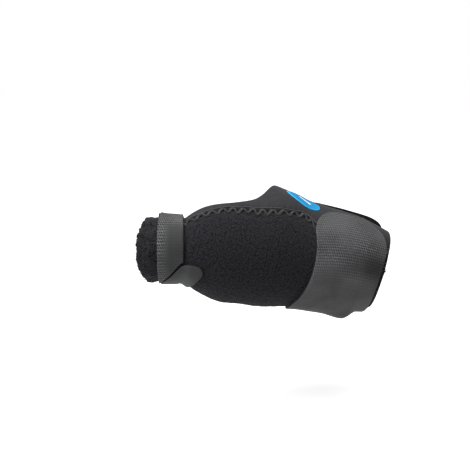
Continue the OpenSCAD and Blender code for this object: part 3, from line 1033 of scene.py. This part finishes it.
def thumb_wrap():
    """Face and foam of the strap round the sleeve. Its outer edge stands off a little on the palm side."""
    rows, cols = count(wrap_right - wrap_left, thumb_step), count(92, 0.45)
    x = np.linspace(wrap_left, wrap_right, rows)[:, None] + np.zeros((1, cols))
    t = np.linspace(0, 1, cols)[None, :]
    even, even_from = 60, 0.3  # from this angle, and this share of the columns, they run straight across
    start = through(WRAP_START, x)[..., 1] + 2.5
    slanting = lerp(start, even, t / even_from)
    angle = np.where(t < even_from, slanting, lerp(even, wrap_cut, (t - even_from) / (1 - even_from)))
    outer_edge = (wrap_right - x) / (wrap_right - wrap_left)
    standing = 1.0 * outer_edge**3 * bell((angle - 104) / 26)
    wave = thumb_ripple(x, angle) + standing
    inside = border(x.shape, 2, ("start", "end", "low"))
    bare = 0.8 * outer_edge**4 * bell((angle - 106) / 22)
    top = wrap_out + wave - rounding(inside, strap_edge_round)
    middle = wrap_mid + wave
    face = laid("thumb_strap_face", x + bare, angle, top, middle, THUMB_STRAP, strap_reach)
    foam = laid("thumb_strap_foam", x, angle, middle - layer_air, wrap_in + standing, FOAM, strap_reach)
    return face, foam


def flap_tip(u):
    """Angle of the round tip, for u from 0 to 1 across the strap."""
    w = (u - tip_middle) / np.where(u < tip_middle, tip_middle, 1 - tip_middle)
    return flap_end - np.where(u < tip_middle, 12, 9) * (1 - np.sqrt(np.clip(1 - np.abs(w) ** 2.5, 0, 1)))


def thumb_flap():
    """Face, foam and hook tape of the thumb strap's free end."""
    rows, cols = count(tab_width, thumb_step), count(36, thumb_step)
    u = np.linspace(0, 1, rows)[:, None]
    angle = lerp(wrap_cut - 360, flap_tip(u), np.linspace(0, 1, cols)[None, :])
    edges = through(FLAP_EDGES, angle)
    x = lerp(edges[..., 1], edges[..., 2], u)
    wave = thumb_ripple(x, angle)
    inside = border(x.shape, 2, ("start", "end", "high"))
    top = wrap_out + wave - rounding(inside, strap_edge_round)
    middle = wrap_mid + wave
    face = laid("thumb_tab_face", x, angle, top, middle, THUMB_STRAP, strap_reach)
    foam = laid("thumb_tab_foam", x, angle, middle - layer_air, wrap_in, FOAM, strap_reach)
    tape_inset = 1.2
    tape_angle = np.linspace(-40, -4, 40)[None, :] + 0 * u
    tape_edges = through(FLAP_EDGES, tape_angle)
    tape_x = lerp(tape_edges[..., 1] + tape_inset, tape_edges[..., 2] - tape_inset, u)
    tape = laid("thumb_hook_tape", tape_x, tape_angle, wrap_in + hook_sunk, wrap_in - 0.15, HOOKS,
                strap_reach)
    return face, foam, tape


wrap_face, wrap_foam = thumb_wrap()
for piece, cad, slot in ((wrap_face, "thumb_wrap_face", "strap_knit"),
                         (wrap_foam, "thumb_wrap_foam", "neoprene")):
    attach(piece, "splint")
    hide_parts(cad)
flap_face, flap_foam, flap_tape = thumb_flap()
for piece, cad, slot in ((flap_face, "thumb_flap_face", "strap_knit"),
                         (flap_foam, "thumb_flap_foam", "neoprene")):
    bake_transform(piece)
    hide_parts(cad)
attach(flap_tape, "thumb_flap")
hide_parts("thumb_flap_hook")

# ---------------------------------------------------------------- label

label_centre = np.array([-42.3, 105.5])  # x and angle
label_half = np.array([9.2, 5.9])
label_slope = math.radians(-40)
label_arc = 0.575  # millimetres per degree at the label
label_t = 0.35
LABEL_BLUE = (0.0, 0.28, 0.6, 1)
LABEL_RIM = (0.02, 0.43, 0.78, 1)


def palm_label():
    """An oval disc that follows the panel, from a square grid drawn out to a round one."""
    n = 45
    a, b = np.meshgrid(np.linspace(-1, 1, n), np.linspace(-1, 1, n), indexing="ij")
    u = label_half[0] * a * np.sqrt(1 - b * b / 2)
    v = label_half[1] * b * np.sqrt(1 - a * a / 2)
    x = label_centre[0] + u * math.cos(label_slope) - v * math.sin(label_slope)
    angle = label_centre[1] + (u * math.sin(label_slope) + v * math.cos(label_slope)) / label_arc
    shape = body_relief(x, angle)
    inside = border(a.shape, 2, ("start", "end", "low", "high"))
    ink = label_print("label_print", label_half, LABEL_BLUE, LABEL_RIM, grey(0.9))
    top = at_depth(x, angle, body_out + shape + label_t - rounding(inside, 0.2))
    under = at_depth(x, angle, body_out + shape - 0.05)
    return closed_sheet("label_patch", top, under, np.stack([u, v], -1), ink)


label = palm_label()
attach(label, "splint")
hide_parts("palm_label")

# ---------------------------------------------------------------- camera, light and floor

camera_distance = 0.48
camera_elevation = 10
view_width = 0.235
sensor_width = 36
look_at = Vector((-0.070, -0.010, 0.0206))

elevation = math.radians(camera_elevation)
back = Vector((0, -math.cos(elevation), math.sin(elevation)))
camera_data = bpy.data.cameras.new("camera")
camera_data.sensor_width = sensor_width
camera_data.lens = sensor_width * camera_distance / view_width
camera = bpy.data.objects.new("camera", camera_data)
camera.location = look_at + back * camera_distance
camera.rotation_mode = "QUATERNION"
camera.rotation_quaternion = (-back).to_track_quat("-Z", "Y")
bpy.context.scene.collection.objects.link(camera)
bpy.context.scene.camera = camera

floor_drop = 0.066
floor_size = 12.0
lit_point = Vector((-0.06, 0, 0.01))


def pale_floor():
    """Plain white floor that glows a little far out, so that it runs into the white background."""
    mesh = bpy.data.meshes.new("floor")
    h = floor_size / 2
    z = -floor_drop
    mesh.from_pydata([(-h, -h, z), (h, -h, z), (h, h, z), (-h, h, z)], [], [(0, 1, 2, 3)])
    obj = bpy.data.objects.new("floor", mesh)
    s = Shader("floor_paper", Base_Color=(0.7, 0.7, 0.7, 1), Roughness=0.9, Emission_Color=(1, 1, 1, 1))
    spot = s.add("TexCoord").outputs["Object"]
    far = s.add("VectorMath", {"operation": "LENGTH"}, i0=spot).outputs["Value"]
    seen = s.add("LightPath").outputs["Is Camera Ray"]
    s.set("Emission Strength", s.math("MULTIPLY", seen, s.remap(far, 0.15, 0.6, 0.62, 0.85)))
    mesh.materials.append(s.material)
    bpy.context.scene.collection.objects.link(obj)


# name, place and size in metres, power in watts
LIGHTS = [
    ("key_light", (-0.75, -0.45, 0.65), 0.5, 10.0),
    ("fill_light", (-0.2, -0.9, 0.1), 0.9, 0.6),
    ("top_light", (0.0, 0.05, 0.95), 0.6, 9.0),
]
world_glow = 0.2


def area_light(name, place, size, power):
    """A square light that faces the object."""
    data = bpy.data.lights.new(name, "AREA")
    data.size = size
    data.energy = power
    obj = bpy.data.objects.new(name, data)
    obj.location = Vector(place)
    obj.rotation_mode = "QUATERNION"
    obj.rotation_quaternion = (lit_point - obj.location).to_track_quat("-Z", "Y")
    bpy.context.scene.collection.objects.link(obj)


def studio_world():
    """White behind the object, and a softer light from all round it."""
    world = bpy.data.worlds.new("studio")
    world.use_nodes = True
    tree = world.node_tree
    background = tree.nodes["Background"]
    background.inputs["Color"].default_value = (1, 1, 1, 1)
    path = tree.nodes.new("ShaderNodeLightPath")
    strength = tree.nodes.new("ShaderNodeMapRange")
    strength.inputs["To Min"].default_value = world_glow
    strength.inputs["To Max"].default_value = 1.0
    tree.links.new(path.outputs["Is Camera Ray"], strength.inputs["Value"])
    tree.links.new(strength.outputs["Result"], background.inputs["Strength"])
    bpy.context.scene.world = world


pale_floor()
for light in LIGHTS:
    area_light(*light)
studio_world()
bpy.context.scene.view_settings.view_transform = "Standard"
